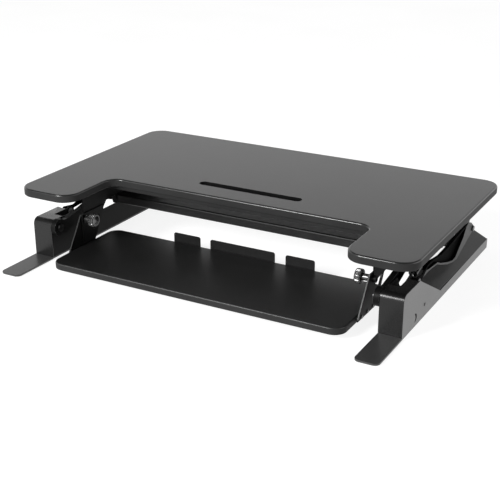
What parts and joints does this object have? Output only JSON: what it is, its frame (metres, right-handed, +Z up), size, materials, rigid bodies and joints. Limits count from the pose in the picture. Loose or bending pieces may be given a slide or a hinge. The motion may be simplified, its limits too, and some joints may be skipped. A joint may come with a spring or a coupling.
{
  "type": "standing desk converter",
  "caption": "Black desktop riser: a notched worksurface and hanging keyboard tray lifted on parallel arms from two side feet, with gas struts.",
  "frame": {"origin": "middle of the footprint box on the desk, under the feet, in the lowered position", "axes": "+X to the user's right, +Y away from the user, +Z up"},
  "size_m": [0.92, 0.656, 0.165],
  "materials": {
    "board_laminate": "fine-textured satin black laminate on fibreboard",
    "tray_laminate": "fine-textured satin black laminate on fibreboard",
    "frame_paint": "black powder coat",
    "cover_paint": "satin black powder coat",
    "bolt_steel": "dark zinc",
    "tube_paint": "semi-gloss black",
    "rod_chrome": "polished",
    "black_plastic": "fine-grained moulding",
    "knob_plastic": "moulded grey",
    "pad_rubber": "matt"
  },
  "bodies": {
    "base": {"left_foot_plate": "frame_paint", "right_foot_plate": "frame_paint", "foot_pads": "pad_rubber", "left_housing": "cover_paint", "right_housing": "cover_paint", "left_side_frame": "frame_paint", "right_side_frame": "frame_paint", "rear_tie_bar": "frame_paint", "lower_arm_bolts": "bolt_steel", "lower_link_bolts": "bolt_steel", "strut_anchor_pins": "bolt_steel", "frame_screws": "bolt_steel", "cover_screws": "bolt_steel"},
    "main_arms": {"left_main_arm": "frame_paint", "right_main_arm": "frame_paint", "arm_crossbeam": "frame_paint", "strut_studs": "bolt_steel"},
    "carriage": {"worksurface": "board_laminate", "left_carriage_rail": "frame_paint", "right_carriage_rail": "frame_paint", "upper_arm_bolts": "bolt_steel", "upper_link_bolts": "bolt_steel", "notch_stiffener": "frame_paint", "left_tray_mount": "frame_paint", "right_tray_mount": "frame_paint", "left_tray_hanger": "frame_paint", "right_tray_hanger": "frame_paint", "keyboard_tray": "tray_laminate", "centre_stop_tab": "black_plastic", "side_stop_tabs": "black_plastic", "tray_spacers": "pad_rubber", "tray_screws": "bolt_steel", "board_screws": "bolt_steel", "lever_brackets": "frame_paint", "lever_pins": "bolt_steel"},
    "left_link": {"left_outer_link": "frame_paint"},
    "left_strut_tube_body": {"left_strut_tube": "tube_paint"},
    "left_strut_rod_body": {"left_strut_rod": "rod_chrome"},
    "left_lever": {"left_release_lever": "black_plastic"},
    "left_knob": {"left_tray_knob": "knob_plastic", "left_knob_screw": "bolt_steel"},
    "right_link": {"right_outer_link": "frame_paint"},
    "right_strut_tube_body": {"right_strut_tube": "tube_paint"},
    "right_strut_rod_body": {"right_strut_rod": "rod_chrome"},
    "right_lever": {"right_release_lever": "black_plastic"},
    "right_knob": {"right_tray_knob": "knob_plastic", "right_knob_screw": "bolt_steel"}
  },
  "joints": [
    {"name": "lift", "type": "hinge", "parent": "base", "child": "main_arms", "pos_m": [0, -0.193, 0.074], "axis": [1, 0, 0], "range_deg": [0, 60]},
    {"name": "carriage_level", "type": "hinge", "parent": "main_arms", "child": "carriage", "pos_m": [0, 0.154, 0.07], "axis": [1, 0, 0], "range_deg": [-60, 0]},
    {"name": "left_link_swing", "type": "hinge", "parent": "base", "child": "left_link", "pos_m": [-0.425, -0.11, 0.08], "axis": [1, 0, 0], "range_deg": [0, 60]},
    {"name": "left_strut_swing", "type": "hinge", "parent": "main_arms", "child": "left_strut_tube_body", "pos_m": [-0.402, 0.103, 0.119], "axis": [1, 0, 0], "range_deg": [0, 1.62]},
    {"name": "left_strut_stroke", "type": "slide", "parent": "left_strut_tube_body", "child": "left_strut_rod_body", "axis": [0, -0.974, -0.2264], "range_m": [0, 0.02924]},
    {"name": "left_lever_pull", "type": "hinge", "parent": "carriage", "child": "left_lever", "pos_m": [-0.41, -0.101, 0.136], "axis": [1, 0, 0], "range_deg": [-9, 0], "stiffness_Nm_per_rad": 0.5},
    {"name": "left_knob_turn", "type": "hinge", "parent": "carriage", "child": "left_knob", "pos_m": [-0.32, -0.145, 0.085], "axis": [1, 0, 0], "range_deg": [-360, 360]},
    {"name": "right_link_swing", "type": "hinge", "parent": "base", "child": "right_link", "pos_m": [0.425, -0.11, 0.08], "axis": [1, 0, 0], "range_deg": [0, 60]},
    {"name": "right_strut_swing", "type": "hinge", "parent": "main_arms", "child": "right_strut_tube_body", "pos_m": [0.402, 0.103, 0.119], "axis": [1, 0, 0], "range_deg": [0, 1.62]},
    {"name": "right_strut_stroke", "type": "slide", "parent": "right_strut_tube_body", "child": "right_strut_rod_body", "axis": [0, -0.974, -0.2264], "range_m": [0, 0.02924]},
    {"name": "right_lever_pull", "type": "hinge", "parent": "carriage", "child": "right_lever", "pos_m": [0.41, -0.101, 0.136], "axis": [1, 0, 0], "range_deg": [-9, 0], "stiffness_Nm_per_rad": 0.5},
    {"name": "right_knob_turn", "type": "hinge", "parent": "carriage", "child": "right_knob", "pos_m": [0.32, -0.145, 0.085], "axis": [1, 0, 0], "range_deg": [-360, 360]}
  ],
  "couplings": [
    {"joint": "carriage_level", "follows": "lift", "ratio": -1},
    {"joint": "left_link_swing", "follows": "lift", "ratio": 1},
    {"joint": "left_strut_swing", "follows": "lift", "ratio": 0.027},
    {"joint": "left_strut_stroke", "follows": "lift", "m_per_rad": 0.02792},
    {"joint": "right_link_swing", "follows": "lift", "ratio": 1},
    {"joint": "right_strut_swing", "follows": "lift", "ratio": 0.027},
    {"joint": "right_strut_stroke", "follows": "lift", "m_per_rad": 0.02792}
  ]
}
